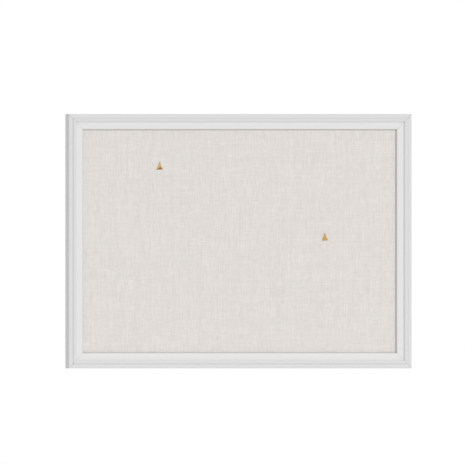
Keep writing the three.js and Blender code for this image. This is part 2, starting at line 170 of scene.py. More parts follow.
class PINBOARD_PG_panel(bpy.types.PropertyGroup):
    """The linen and the boards behind it"""

    seat_gap: length("Seat gap", "Gap between pieces that rest on each other", 0.3)
    cloth: length("Cloth", "Thickness of the linen", 0.8)
    turn_back: length("Turn-back", "Width of the linen folded behind the core", 25)
    fold_round: length("Fold round", "Outer radius of the linen's folds", 1.5)
    pinhole: length("Pinhole", "Diameter of the hole that a needle leaves", 1.3)
    thread: length("Thread", "Spacing of the linen's threads", 0.8)
    slub_width: length("Slub width", "Width of the thick stretches of yarn", 2)
    slub_length: length("Slub length", "Length of the thick stretches of yarn", 15)
    yarn_length: length("Yarn length", "How far a darker or paler yarn can be followed", 130)
    flax_patch: length("Flax patch", "Size of the patches of greener yarn", 12)
    board_ease: length("Board ease", "Radius along the backing board's edges", 0.5)
    screen_pitch: length("Screen pitch", "Spacing of the screen marks on the hardboard", 2.4)
    fibre: length("Fibre", "Size of the dark fibres in the hardboard", 1.3)
    board_patch: length("Board patch", "Size of the soft patches in the hardboard", 6)
    core_fleck: length("Core fleck", "Size of the flecks in the fibreboard", 3)
    linen_light: colour("Linen, light", "The paler yarn", "EBE6E3")
    linen_dark: colour("Linen, dark", "The darker yarn", "DBD5D2")
    linen_flax: colour("Linen, flax", "The greener yarn", "DEDED6")
    hardboard: colour("Hardboard", "Brown hardboard", "7A5A3C")
    fibreboard: colour("Fibreboard", "Soft fibreboard", "B59A74")


class PINBOARD_PG_pins(bpy.types.PropertyGroup):
    """The push pins"""

    rim: length("Rim", "Upright edge at the base of the head", 0.8)
    point: length("Point", "Width of the blunted point of the head", 0.7)
    ease: length("Ease", "Radius of the head's edges at the base", 0.15)
    needle_point: length("Needle point", "Length of the needle's tapered point", 2.5)
    brass_grain: length("Brass grain", "Size of the unevenness in the brass", 1.5)
    steel_grain: length("Steel grain", "Size of the unevenness in the steel", 1)
    right_turn: angle("Right pin's turn", "How far the right pin is turned in the linen", -3)
    # Painted shade on each pin's right, left and lower faces: high on faces turned from the light, low on
    # faces painted as lit
    left_face_shade: FloatVectorProperty(
        name="Left pin's tarnish", description="How dull its right, left and lower faces are",
        default=(0.3, 0.45, 1.0), min=0, max=1,
    )
    right_face_shade: FloatVectorProperty(
        name="Right pin's tarnish", description="How dull its right, left and lower faces are",
        default=(0.15, 0.65, 0.6), min=0, max=1,
    )
    brass: colour("Brass", "Satin brass", "CBA560")
    # The paler brass is a painted highlight and the browner brass is painted shade, laid on the pin heads
    # face by face
    lit_brass: colour("Bright brass", "Brass that handling has polished", "E3C48C")
    shaded_brass: colour("Dull brass", "Tarnished brass", "6F4822")
    needle_steel: colour("Steel", "Plain steel of needles and nails", "8C8F92")


class PINBOARD_PG_fittings(bpy.types.PropertyGroup):
    """The fittings on the back"""

    sheet_ease: length("Sheet ease", "Radius along the edges of the stamped sheet", 0.22)
    button_pivot: length("Button pivot", "Radius of a turn button's round end at the screw", 6)
    button_tip: length("Button tip", "Radius of a turn button's far end", 4)
    screw_hole: length("Screw hole", "Radius of the hole in a turn button", 1.8)
    screw_head: length("Screw head", "Diameter of a pan head", 6.4)
    screw_head_height: length("Head height", "Height of a pan head", 2)
    screw_head_edge: length("Head edge", "Upright rim under the dome of a pan head", 0.8)
    screw_shank: length("Screw shank", "Diameter of a screw's shank", 3)
    screw_point: length("Screw point", "Length of a screw's point", 2.5)
    recess_length: length("Recess length", "Length of the cross recess", 3.6)
    recess_width: length("Recess width", "Width of the cross recess", 0.8)
    recess_depth: length("Recess depth", "Depth of the cross recess", 1.1)
    strap_sheet: length("Strap sheet", "Thickness of the sheet that a strap is folded from", 0.98)
    fold_gap: length("Fold gap", "Gap between the two leaves of a strap", 0.04)
    ring_wire: length("Ring wire", "Diameter of a ring's wire", 2.4)
    ring_corner: length("Ring corner", "Bend radius at the ends of a ring's bar", 2.6)
    ring_side: length("Ring side", "A ring's bar to the start of its round end", 4)
    eye_clearance: length("Eye clearance", "Room round the wire in a strap's eye", 0.1)
    bumper_face: length("Bumper face", "Diameter of a bumper's flat rear face", 9)
    bumper_edge: length("Bumper edge", "Upright rim under a bumper's rounded part", 2)
    spangle: length("Spangle", "Size of the patches in the zinc", 3)
    rubber_grain: length("Rubber grain", "Size of the fine grain in the rubber", 0.4)
    rubber_patch: length("Rubber patch", "Size of the soft patches in the rubber", 4)
    zinc: colour("Zinc", "Bright zinc plating", "A4A9AE")
    rubber: colour("Rubber", "Matt black rubber", "2A2A2B")


class PINBOARD_PG_stage(bpy.types.PropertyGroup):
    """Camera, light and floor"""

    view_azimuth: angle("View azimuth", "How far the camera stands round to the right", -20.9)
    view_width: length("View width", "Width of what the camera sees", 842.75)
    aim_right: length("Aim, right", "Middle of the view, to the right of the board's middle", -5.5)
    aim_up: length("Aim, up", "Middle of the view, above the board's middle", 15.7)
    camera_distance: length("Camera distance", "From the middle of the board", 3000)
    sky_level: FloatProperty(name="Sky level", description="Light from all round", default=0.625)
    key_place: FloatVectorProperty(
        name="Key place", description="Where the main lamp stands", default=(6.5, -22.8, 7.0), subtype="XYZ"
    )
    key_size: length("Key size", "Width of the main lamp", 3600)
    key_power: FloatProperty(
        name="Key power", description="Power of the main lamp", default=2200, unit="POWER"
    )
    rear_place: FloatVectorProperty(
        name="Rear place", description="Where the rear lamp stands", default=(0.0, 5.0, 2.4), subtype="XYZ"
    )
    rear_size: length("Rear size", "Width of the rear lamp", 1800)
    rear_power: FloatProperty(
        name="Rear power", description="Power of the rear lamp", default=98, unit="POWER"
    )
    floor_size: length("Floor size", "Width of the floor", 8000)
    floor_gap: length("Floor gap", "From the floor to the bottom of the board", 120)
    floor_patch: length("Floor patch", "Size of the soft patches in the floor", 500)
    floor: colour("Floor", "Pale floor", "F4F4F3")
    floor_lift: FloatProperty(
        name="Floor lift", description="Light added to the floor where it is seen", default=0.18
    )


class PINBOARD_PG_settings(bpy.types.PropertyGroup):
    """Sizes and colours of the whole board"""

    moulding: PointerProperty(type=PINBOARD_PG_moulding)
    panel: PointerProperty(type=PINBOARD_PG_panel)
    pins: PointerProperty(type=PINBOARD_PG_pins)
    fittings: PointerProperty(type=PINBOARD_PG_fittings)
    stage: PointerProperty(type=PINBOARD_PG_stage)


# Curves and surfaces


def box_of(node):
    """A node's lowest and highest corners as numpy rows."""
    low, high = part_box(node)
    return np.array(low), np.array(high)


def middle_of(node):
    """The x and z of a node's middle."""
    low, high = box_of(node)
    return ((low + high) / 2)[[0, 2]]


def facing(turn):
    """Unit directions at some angles: their cosines and sines."""
    return np.stack([np.cos(turn), np.sin(turn)], axis=-1)


def turned(x, z, turn):
    """x and z turned about Y by an angle."""
    return x * math.cos(turn) + z * math.sin(turn), z * math.cos(turn) - x * math.sin(turn)


def arc(centre, radii, start, end, steps=CURVE_STEPS):
    """Points on an ellipse: the centre plus the two radii times the cosine and sine of a turning angle."""
    return facing(np.linspace(start, end, steps + 1)) * radii + centre


def bow(start, middle, end, steps=CURVE_STEPS):
    """Points on a quadratic curve that leaves start towards middle and reaches end from it."""
    share = np.linspace(0, 1, steps + 1)[:, None]
    start, middle, end = np.array([start, middle, end])
    return (1 - share) ** 2 * start + 2 * share * (1 - share) * middle + share**2 * end


def rounded_edge(near, far, radius, steps=EASE_STEPS):
    """The inset and depth of points round an edge from one face to the other, by a quarter circle at each:
    the radius times one less the sine, and the face's own depth plus the radius times one less the cosine."""
    turn = np.linspace(0, QUARTER_TURN, steps + 1)
    inset = radius * (1 - np.sin(turn))
    rise = math.copysign(radius, far - near) * (1 - np.cos(turn))
    return np.concatenate([inset, inset[::-1]]), np.concatenate([near + rise, far - rise[::-1]])


def outward(outline):
    """Outward normals of a closed outline that runs anticlockwise: its direction turned a quarter back."""
    along = np.roll(outline, -1, axis=0) - np.roll(outline, 1, axis=0)
    normal = np.stack([along[:, 1], -along[:, 0]], axis=1)
    return normal / np.linalg.norm(normal, axis=1, keepdims=True)


def quads(table, ring_rows=False, ring_columns=False):
    """The four corners of each cell of a table, joined up at its ends where it is a ring."""
    if ring_rows:
        table = np.concatenate([table, table[:1]])
    if ring_columns:
        table = np.concatenate([table, table[:, :1]], axis=1)
    corners = [table[:-1, :-1], table[:-1, 1:], table[1:, 1:], table[1:, :-1]]
    return np.stack(corners, axis=-1).reshape(-1, 4, *table.shape[2:])


def numbered(points):
    """The point numbers of a grid of points, row by row."""
    rows, columns = points.shape[:2]
    return np.arange(rows * columns).reshape(rows, columns)


def new_mesh(name, points, faces):
    """A mesh from an array of points and a list of faces."""
    mesh = bpy.data.meshes.new(name)
    mesh.from_pydata(points.reshape(-1, 3).tolist(), [], faces)
    mesh.update()
    return mesh


def face_outwards(mesh):
    """Turns a closed mesh's faces to point outwards."""
    shape = bmesh.new()
    shape.from_mesh(mesh)
    bmesh.ops.recalc_face_normals(shape, faces=shape.faces)
    shape.to_mesh(mesh)
    shape.free()
    return mesh


def tube(name, points, ring_rows=False):
    """A closed surface on a grid whose columns are rings. Its first and last rings are closed by a face
    each, unless its rows are a ring too."""
    index = numbered(points)
    faces = quads(index, ring_rows, True).tolist()
    if not ring_rows:
        faces += [index[0].tolist(), index[-1].tolist()]
    return face_outwards(new_mesh(name, points, faces))


def rings_at(flat, y):
    """Rows of rings from the (x, z) of their points and a y for each ring."""
    depth = np.broadcast_to(np.reshape(y, (-1, 1)), flat.shape[:2])
    return np.stack([flat[..., 0], depth, flat[..., 1]], axis=-1)


def lathe(name, profile, centre=(0, 0)):
    """A surface of revolution: each (radius, y) of the profile turned about the Y axis through centre."""
    radius, y = np.array(profile).T
    turn = np.arange(ROUND_STEPS) / ROUND_STEPS * FULL_TURN
    return tube(name, rings_at(centre + radius[:, None, None] * facing(turn), y))


def prism(outline, front, rear, front_scale=1):
    """A flat (x, z) outline carried from one y to another, as a grid of two rings of points."""
    return rings_at(outline * np.array([front_scale, 1])[:, None, None], (front, rear))


def joined_prisms(name, shapes):
    """Several prisms with as many points each, in one mesh, each closed by a face at both ends."""
    points = np.stack(shapes)
    index = np.arange(points.size // 3).reshape(points.shape[:3])
    sides = np.concatenate([quads(rings, ring_columns=True) for rings in index]).tolist()
    return face_outwards(new_mesh(name, points, sides + index.reshape(-1, index.shape[2]).tolist()))


def sweep(path, across, section, closed=False):
    """A section carried along a flat path. Each of its points (a, b) lies at the path's point plus a times
    the path's normal plus b times across, the direction that the path's plane faces."""
    if closed:
        along = np.roll(path, -1, axis=0) - np.roll(path, 1, axis=0)
    else:
        along = np.gradient(path, axis=0)
    normal = np.cross(along, across)
    normal /= np.linalg.norm(normal, axis=1, keepdims=True)
    return path[:, None] + section[:, 0, None] * normal[:, None] + section[:, 1, None] * np.array(across)


def eased_rectangle(width, height, ease):
    """The outline of a rectangle about the origin with rounded corners, anticlockwise."""
    half = np.array([width, height]) / 2 - ease
    signs = [(1, 1), (-1, 1), (-1, -1), (1, -1)]
    return np.concatenate(
        [
            arc(half * sign, ease, i * QUARTER_TURN, (i + 1) * QUARTER_TURN, EASE_STEPS)
            for i, sign in enumerate(signs)
        ]
    )


def without_repeats(points):
    """A closed run of points with each that repeats the one before it left out."""
    step = np.linalg.norm(points - np.roll(points, 1, axis=0), axis=1)
    return points[step > SAME_PLACE]


def placed(name, data):
    """A new object in the scene."""
    thing = bpy.data.objects.new(name, data)
    bpy.context.scene.collection.objects.link(thing)
    return thing


def carved(mesh, cutter):
    """The mesh with the closed cutter taken out of it by an exact boolean."""
    whole = placed("whole", mesh)
    tool = placed("tool", cutter)
    boolean = whole.modifiers.new("carve", "BOOLEAN")
    boolean.object = tool
    boolean.solver = "EXACT"
    result = final_mesh(whole)
    bpy.data.objects.remove(tool)
    bpy.data.meshes.remove(cutter)
    return result


def final_mesh(whole):
    """An object's mesh with its modifiers applied. The object and its old mesh are dropped."""
    old = whole.data
    name = old.name
    evaluated = whole.evaluated_get(bpy.context.evaluated_depsgraph_get())
    result = bpy.data.meshes.new_from_object(evaluated)
    bpy.data.objects.remove(whole)
    bpy.data.meshes.remove(old)
    result.name = name
    return result


def add_piece(mesh, material, body, slot, *nodes):
    """Puts a finished mesh into the scene in place of its nodes, moving with their body. Normals are
    weighted by area, so that a flat face stays flat beside its rounded edge."""
    mesh.materials.clear()
    mesh.materials.append(material)
    mesh.shade_smooth()
    mesh.set_sharp_from_angle(angle=SMOOTH_BELOW)
    piece = placed(mesh.name, mesh)
    piece.modifiers.new("weighted", "WEIGHTED_NORMAL").keep_sharp = True
    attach(piece, body)
    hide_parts(*nodes)
    return piece


def dress(node, material):
    """Gives a node that stays in view a better material."""
    for slot in frame["nodes"][node].material_slots:
        slot.material = material


# Finishes


WHITE = (1, 1, 1, 1)

# Scale at which a wave texture has one band to a unit
ONE_BAND = FULL_TURN / 20


def add_node(tree, kind, inputs=None, **settings):
    """Adds a shader node, sets its settings, and gives its inputs values or links. A node that is given as a
    value stands for its first output."""
    node = tree.nodes.new(f"ShaderNode{kind}")
    for key, value in settings.items():
        setattr(node, key, value)
    for key, value in (inputs or {}).items():
        if isinstance(value, bpy.types.Node):
            value = value.outputs[0]
        if isinstance(value, bpy.types.NodeSocket):
            tree.links.new(value, node.inputs[key])
        else:
            node.inputs[key].default_value = value
    return node


def material_of(surface, settings):
    """The material named for one of the functions below, with the surface that it makes from the settings.
    All the pieces with that finish share it."""
    name = surface.__name__
    material = bpy.data.materials.get(name) or bpy.data.materials.new(name)
    material.use_nodes = True
    material.node_tree.nodes.clear()
    add = partial(add_node, material.node_tree)
    add("OutputMaterial", {"Surface": surface(add, settings)})
    return material


def opaque(tone, share=1):
    """A colour made darker or paler by a share, with full alpha, as a colour socket takes it."""
    return (*(min(1, part * share) for part in tone), 1)


def per_metre(*sizes):
    """Pattern scales on the three axes for features of these sizes in metres."""
    return tuple(1 / size for size in sizes)


def mottled(add, place, size, tone, low, high):
    """A soft mottling between two shares of a tone, in patches of one size."""
    patches = add("TexNoise", {"Vector": place, "Scale": 1 / size, "Detail": 3})
    ends = {6: opaque(tone, low), 7: opaque(tone, high)}
    return add("Mix", {"Factor": patches, **ends}, data_type="RGBA").outputs[2]


def satin_white_paint(add, moulding):
    """Satin white paint, sprayed on sanded wood. It gives the eye an even, slightly soft white, with faint
    marks along the rail, and painted shade read from the colour attribute: a greyer tone on the step and the
    fillet and a darker warm tone on the bevel."""
    along = add("UVMap", uv_map="along_rail")
    scale = per_metre(moulding.brush_length, moulding.brush_width, 1)
    stretched = add("Mapping", {"Vector": along, "Scale": scale})
    marks = add("TexNoise", {"Vector": stretched, "Scale": 1, "Detail": 2})
    return add(
        "BsdfPrincipled",
        {
            # Base colour: plain paint, with painted shade on the step, the fillet and the bevel
            "Base Color": add("Attribute", attribute_name="coat_and_shade"),
            "Roughness": add("MapRange", {"Value": marks, "To Min": 0.42, "To Max": 0.56}),
            "Normal": add("Bump", {"Height": marks, "Strength": 0.35, "Distance": 0.03 * MM}),
            "IOR": 1.5,
            "Specular IOR Level": 0.2,
        },
    )


# Weights of the linen's weaker streaks beside its upright slubs, the spread of its tones, and where its
# streaks are read
LEVEL_SLUBS = 0.68
UPRIGHT_YARNS = 0.4
LEVEL_YARNS = 0.36
SLUB_CONTRAST = 0.36
WEAVE_CONTRAST = 0.5
THREAD_WANDER = 1.5
FLAX_SHARE = 0.29
STREAKS_APART = 10
HALF_CELL = 0.5


def plain_weave_linen(add, panel):
    """Linen in a plain weave of uneven flax yarn. It gives the eye a matt warm grey, crossed by slubs, the
    thick stretches of yarn, strong upright ones and weaker level ones, by whole yarns that are a little
    darker or paler, and by patches of greener yarn. The slubs are drawn wider than real ones, so that they
    show from across a room; the threads between them show only from close by. Each streak's noise is read
    half a cell off its lattice, where it would be flattest."""
    place = add("TexCoord").outputs["Object"]
    threads = add("Mapping", {"Vector": place, "Scale": per_metre(*[panel.thread] * 3)})
    bands = {"Vector": threads, "Scale": ONE_BAND, "Distortion": THREAD_WANDER, "Detail": 1}
    warp, weft = [add("TexWave", bands, bands_direction=axis).outputs["Fac"] for axis in "XZ"]
    over = add("TexChecker", {"Vector": threads, "Scale": 1}).outputs["Fac"]
    weave = add("Mix", {"Factor": over, 2: warp, 3: weft})
    crossed = add("Math", {0: weave, 1: WEAVE_CONTRAST}, operation="MULTIPLY")
    wide, slub, yarn = panel.slub_width, panel.slub_length, panel.yarn_length
    streaks = {
        (wide, wide, slub): 1,
        (slub, wide, wide): LEVEL_SLUBS,
        (wide, wide, yarn): UPRIGHT_YARNS,
        (yarn, wide, wide): LEVEL_YARNS,
    }
    for i, (run, weight) in enumerate(streaks.items()):
        apart = (STREAKS_APART * i, HALF_CELL, STREAKS_APART * i)
        stretched = add("Mapping", {"Vector": place, "Scale": per_metre(*run), "Location": apart})
        noise = add("TexNoise", {"Vector": stretched, "Scale": 1, "Detail": 1})
        crossed = add("Math", {0: noise, 1: weight, 2: crossed}, operation="MULTIPLY_ADD")
    middle = (sum(streaks.values()) + WEAVE_CONTRAST) / 2
    ends = {"From Min": middle - SLUB_CONTRAST, "From Max": middle + SLUB_CONTRAST}
    share = add("MapRange", {"Value": crossed, **ends})
    tones = {6: opaque(panel.linen_dark), 7: opaque(panel.linen_light)}
    tone = add("Mix", {"Factor": share, **tones}, data_type="RGBA").outputs[2]
    patches = add("TexNoise", {"Vector": place, "Scale": 1 / panel.flax_patch, "Detail": 1})
    ends = {"From Min": 0.35, "From Max": 0.65, "To Max": FLAX_SHARE}
    greener = add("MapRange", {"Value": patches, **ends})
    tones = {6: tone, 7: opaque(panel.linen_flax)}
    return add(
        "BsdfPrincipled",
        {
            "Base Color": add("Mix", {"Factor": greener, **tones}, data_type="RGBA").outputs[2],
            "Roughness": 0.92,
            "Specular IOR Level": 0.15,
            "Sheen Weight": 0.08,
            "Sheen Roughness": 0.5,
            "Normal": add("Bump", {"Height": crossed, "Strength": 0.6, "Distance": 0.25 * MM}),
        },
    )


SCREEN_SHARE = 0.2


def brown_hardboard(add, panel):
    """Hardboard, wood fibre pressed on a wire screen. It gives the eye a flat brown with darker fibres, and
    the screen's fine square marks, which are drawn a little coarse."""
    place = add("TexCoord").outputs["Object"]
    patches = mottled(add, place, panel.board_patch, panel.hardboard, 0.85, 1.3)
    marks = add("TexNoise", {"Vector": place, "Scale": 1 / panel.fibre, "Detail": 2, "Distortion": 2})
    screen = add("Mapping", {"Vector": place, "Scale": per_metre(*[panel.screen_pitch] * 3)})
    for axis in "XZ":
        bands = add("TexWave", {"Vector": screen, "Scale": ONE_BAND}, bands_direction=axis).outputs["Fac"]
        marks = add("Math", {0: bands, 1: SCREEN_SHARE, 2: marks}, operation="MULTIPLY_ADD")
    ends = {"From Min": 0.45, "From Max": 0.9, "To Min": 0.6, "To Max": 0}
    sunk = add("MapRange", {"Value": marks, **ends})
    tones = {"Factor": sunk, 6: patches, 7: opaque(panel.hardboard, 0.5)}
    return add(
        "BsdfPrincipled",
        {
            "Base Color": add("Mix", tones, data_type="RGBA").outputs[2],
            "Roughness": 0.72,
            "Normal": add("Bump", {"Height": marks, "Strength": 0.6, "Distance": 0.25 * MM}),
        },
    )


def soft_fibreboard(add, panel):
    """Soft fibreboard, felted wood fibre. It gives the eye a dull tan with coarse flecks."""
    place = add("TexCoord").outputs["Object"]
    tone = mottled(add, place, panel.core_fleck, panel.fibreboard, 0.8, 1.2)
    return add("BsdfPrincipled", {"Base Color": tone, "Roughness": 0.95})


GLOSS_DRIFT = 0.08


def metal(add, tone, size, roughness, spread, relief_height):
    """A bare or plated metal: a mottled tone, a roughness that drifts, and a faint unevenness."""
    place = add("TexCoord").outputs["Object"]
    drift = add("TexNoise", {"Vector": place, "Scale": 1 / size, "Detail": 2})
    ends = {"To Min": roughness - GLOSS_DRIFT, "To Max": roughness + GLOSS_DRIFT}
    return add(
        "BsdfPrincipled",
        {
            "Base Color": mottled(add, place, size, tone, 1 - spread, 1 + spread),
            "Metallic": 1,
            "Roughness": add("MapRange", {"Value": drift, **ends}),
            "Normal": add("Bump", {"Height": drift, "Strength": 0.3, "Distance": relief_height}),
        },
    )


# Where the brass turns from the paler tone of the painted highlight to plain, and from plain to the browner
# tone of painted shade, and how softly
PLAIN_FROM, SHADED_FROM, TONE_CHANGE = 0.15, 0.55, 0.5
GRAIN_SHARE = 0.3


def satin_brass(add, pins):
    """Cast brass with a satin polish. It gives the eye a warm yellow metal with soft reflections, and a
    colour painted face by face from the heads' attribute: paler, a painted highlight, where it is low, and
    browner, painted shade, where it is high."""
    place = add("TexCoord").outputs["Object"]
    grain = add("TexNoise", {"Vector": place, "Scale": 1 / pins.brass_grain, "Detail": 2})
    # Painted shade, laid face by face on the pin heads
    dull = add("Attribute", attribute_name="painted_face_shade").outputs["Fac"]
    uneven = add("Math", {0: grain, 1: GRAIN_SHARE, 2: dull}, operation="MULTIPLY_ADD")
    tone = opaque(pins.lit_brass)
    for start, next_tone in ((PLAIN_FROM, pins.brass), (SHADED_FROM, pins.shaded_brass)):
        share = add("MapRange", {"Value": uneven, "From Min": start, "From Max": start + TONE_CHANGE})
        tones = {"Factor": share, 6: tone, 7: opaque(next_tone)}
        tone = add("Mix", tones, data_type="RGBA").outputs[2]
    return add(
        "BsdfPrincipled",
        {
            "Base Color": tone,
            "Metallic": 1,
            "Roughness": add("MapRange", {"Value": dull, "To Min": 0.26, "To Max": 0.45}),
            "Normal": add("Bump", {"Height": grain, "Strength": 0.3, "Distance": 0.02 * MM}),
        },
    )


def zinc_plated_steel(add, fittings):
    """Steel sheet and wire with bright zinc plating. It gives the eye a pale bluish grey metal, faintly
    patched by the crystals of the zinc."""
    return metal(add, fittings.zinc, fittings.spangle, 0.36, 0.12, 0.03 * MM)


def plain_steel(add, pins):
    """Drawn and stamped steel, unplated. It gives the eye a mid grey metal with a dull polish."""
    return metal(add, pins.needle_steel, pins.steel_grain, 0.42, 0.1, 0.02 * MM)


def moulded_rubber(add, fittings):
    """Black rubber from a mould. It gives the eye a matt near-black with a fine grain."""
    place = add("TexCoord").outputs["Object"]
    grain = add("TexNoise", {"Vector": place, "Scale": 1 / fittings.rubber_grain, "Detail": 2})
    return add(
        "BsdfPrincipled",
        {
            "Base Color": mottled(add, place, fittings.rubber_patch, fittings.rubber, 0.8, 1.4),
            "Roughness": 0.75,
            "Normal": add("Bump", {"Height": grain, "Strength": 0.4, "Distance": 0.05 * MM}),
        },
    )


def seen_directly(add):
    """1 for rays from the camera, mirrors and clear glass, and 0 for light that bounces."""
    path = add("LightPath").outputs
    seen = path["Is Camera Ray"]
    for ray in ("Is Glossy Ray", "Is Transmission Ray"):
        seen = add("Math", {0: seen, 1: path[ray]}, operation="MAXIMUM")
    return seen


def pale_floor(add, stage):
    """Matt pale paper. It gives the eye a white ground that still takes the board's shadow."""
    place = add("TexCoord").outputs["Object"]
    bounce = add("BsdfDiffuse", {"Color": mottled(add, place, stage.floor_patch, stage.floor, 0.985, 1)})
    white = add("BsdfDiffuse", {"Color": WHITE})
    lift = add("Emission", {"Color": WHITE, "Strength": stage.floor_lift})
    shown = add("AddShader", {0: white, 1: lift})
    return add("MixShader", {"Fac": seen_directly(add), 1: bounce, 2: shown})


# Stage


# How far the view reaches, in camera distances
VIEW_REACH = 4


def make_camera(stage):
    """A camera square to the board's upright edges, turned to the view's azimuth, with parallel rays."""
    turn = stage.view_azimuth
    ahead = np.array([-math.sin(turn), math.cos(turn), 0])
    right = np.array([math.cos(turn), math.sin(turn), 0])
    aim = right * stage.aim_right + np.array([0, 0, stage.aim_up])
    lens = bpy.data.cameras.new("photo_view")
    lens.type = "ORTHO"
    lens.ortho_scale = stage.view_width
    lens.clip_end = VIEW_REACH * stage.camera_distance
    camera = placed("photo_view", lens)
    camera.location = aim - ahead * stage.camera_distance
    camera.rotation_euler = (QUARTER_TURN, 0, turn)
    bpy.context.scene.camera = camera


def make_lamp(name, place, size, power):
    """A square soft lamp that faces the middle of the board."""
    light = bpy.data.lights.new(name, "AREA")
    light.size = size
    light.energy = power
    lamp = placed(name, light)
    lamp.location = place
    lamp.rotation_euler = (-Vector(place)).to_track_quat("-Z", "Y").to_euler()


def make_sky(stage):
    """Even light from all round, on a background that is white where it is seen."""
    sky = bpy.data.worlds.new("studio")
    sky.use_nodes = True
    sky.node_tree.nodes.clear()
    add = partial(add_node, sky.node_tree)
    light = add("Background", {"Strength": stage.sky_level, "Color": WHITE})
    white = add("Background", {"Strength": 1, "Color": WHITE})
    both = add("MixShader", {"Fac": seen_directly(add), 1: light, 2: white})
    add("OutputWorld", {"Surface": both})
    bpy.context.scene.world = sky


def make_floor(stage):
    """A flat square under the board."""
    reach = np.array([-0.5, 0.5]) * stage.floor_size
    x, y = np.meshgrid(reach, reach)
    z = np.full_like(x, CAD_BOX[0].z - stage.floor_gap)
    points = np.stack([x, y, z], axis=-1)
    mesh = new_mesh("floor", points, quads(numbered(points)).tolist())
    mesh.materials.append(material_of(pale_floor, stage))
    placed("floor", mesh)


class PINBOARD_OT_stage(bpy.types.Operator):
    """Make the camera, the lamps, the sky and the floor"""

    bl_idname = "pin_board.stage"
    bl_label = "Stage"

    def execute(self, context):
        stage = context.scene.pin_board.stage
        context.scene.view_settings.view_transform = "Standard"
        make_camera(stage)
        make_lamp("key_lamp", stage.key_place, stage.key_size, stage.key_power)
        make_lamp("rear_lamp", stage.rear_place, stage.rear_size, stage.rear_power)
        make_sky(stage)
        make_floor(stage)
        return {"FINISHED"}


# Frame rails


def moulding_section(moulding, face, depth, rebate):
    """The moulding's outline: inset from the outer edge, height from the back, anticlockwise from the outer
    back edge. Rounds are arcs, the bead is the top of a circle, the band and the bevel's two edges are
    quadratic curves, and step, fillet and bevel are straight."""
    back = face - moulding.lip_width
    arris = moulding.arris_round
    edge = moulding.edge_round
    ease = moulding.fillet_round
    step = moulding.step_width
    band = step + moulding.fillet_width
    step_height = depth - moulding.step_drop
    edge_height = step_height - moulding.step_fall
    fillet_end = depth - moulding.fillet_fall
    band_height = depth - moulding.band_drop
    sight = band_height - moulding.band_fall
    crown = (band_height + sight) / 2 + 2 * moulding.band_crown
    low, high = np.array([(face, rebate + moulding.bevel_land), (face - moulding.bevel_width, sight)])
    slope = (high - low) / np.linalg.norm(high - low) * moulding.bevel_ease
    upright, level = np.array([(0, moulding.bevel_ease), (-moulding.bevel_ease, 0)])
    inner = high + level
    half_bead = moulding.bead_width / 2
    bead_radius = (half_bead**2 + moulding.bead_rise**2) / (2 * moulding.bead_rise)
    lean = math.asin(half_bead / bead_radius)
    bead_middle = step_height - moulding.step_fall / 2 + moulding.bead_rise - bead_radius
    outline = [
        arc((arris, arris), arris, math.pi, 3 * QUARTER_TURN, EASE_STEPS),
        arc((back - arris, arris), arris, -QUARTER_TURN, 0, EASE_STEPS),
        [(back, rebate)],
        arc((face - arris, rebate + arris), arris, -QUARTER_TURN, 0, EASE_STEPS),
        bow(low - upright, low, low + slope, EASE_STEPS),
        bow(high - slope, high, inner, EASE_STEPS),
        bow(inner, ((inner[0] + band) / 2, crown), (band, band_height)),
        arc((band - ease, fillet_end - ease), ease, 0, QUARTER_TURN, EASE_STEPS),
        arc((step + ease, depth - ease), ease, QUARTER_TURN, math.pi, EASE_STEPS),
        [(step, step_height)],
        arc((moulding.bead_inset, bead_middle), bead_radius, QUARTER_TURN - lean, QUARTER_TURN + lean),
        arc((edge, edge_height - edge), edge, QUARTER_TURN, math.pi, EASE_STEPS),
    ]
    return without_repeats(np.concatenate(outline))


def coat_and_shade_tones(moulding, section, face, depth, rebate):
    """The paint's tone at each point of the section, as opaque linear colours: painted shade of a greyer tone
    on the step beside the bead and on the fillet, painted shade of a darker warm tone on the bevel and the
    land under it, and plain paint elsewhere."""
    inset, height = section.T
    on_front = height > depth / 2
    on_bead = np.abs(inset - moulding.bead_inset) < moulding.bead_width / 2
    on_steps = on_front & ~on_bead & (inset < moulding.step_width + moulding.fillet_width)
    on_bevel = (height > rebate) & (inset > face - moulding.bevel_width)
    tones = np.tile(opaque(moulding.paint), (len(section), 1))
    # Painted shade on the step and the fillet, and on the bevel
    tones[on_steps] = opaque(moulding.step_shade_paint)
    tones[on_bevel] = opaque(moulding.bevel_shade_paint)
    return tones


def rail_mesh(name, turn, span, reach, section, tones, back, moulding):
    """The section carried along one rail. Each point's run ends where it meets the next rail's, at half the
    rail's span less the point's inset. At both ends the outline is drawn in a little, so that a fine line
    shows along the mitre. The map along_rail holds metres along the rail and round the section, and starts
    elsewhere on each rail, so that no two are marked alike."""
    ease = moulding.mitre_ease
    eased = section - ease * outward(section)
    runs = np.stack([eased, section, section, eased])
    drawn_in = np.array([0, ease, ease, 0])[:, None] + moulding.mitre_gap / math.sqrt(2)
    end = np.array([-1, -1, 1, 1])[:, None]
    along = end * (span / 2 - runs[..., 0] - drawn_in)
    across = runs[..., 0] - reach
    x, z = turned(along, across, turn)
    points = np.stack([x, back - runs[..., 1], z], axis=-1)
    index = numbered(points)
    faces = quads(index, ring_columns=True).tolist() + [index[0].tolist(), index[-1].tolist()]
    mesh = new_mesh(name, points, faces)
    step = np.linalg.norm(np.roll(section, -1, axis=0) - section, axis=1)
    girth = np.concatenate([[0], np.cumsum(step)]) + reach + turn
    long = np.concatenate([along, along[:, :1]], axis=1)
    corners = quads(np.stack(np.broadcast_arrays(long, girth), axis=-1))
    flat_ends = np.zeros((2 * len(section), 2))
    mesh.uv_layers.new(name="along_rail").uv.foreach_set(
        "vector", np.concatenate([corners.reshape(-1, 2), flat_ends]).ravel()
    )
    # Each point's paint colour, with painted shade on the step, the fillet and the bevel
    coat_and_shade = mesh.attributes.new("coat_and_shade", "FLOAT_COLOR", "POINT")
    coat_and_shade.data.foreach_set("color", np.tile(tones, (len(runs), 1)).astype(np.float32).ravel())
    return face_outwards(mesh)


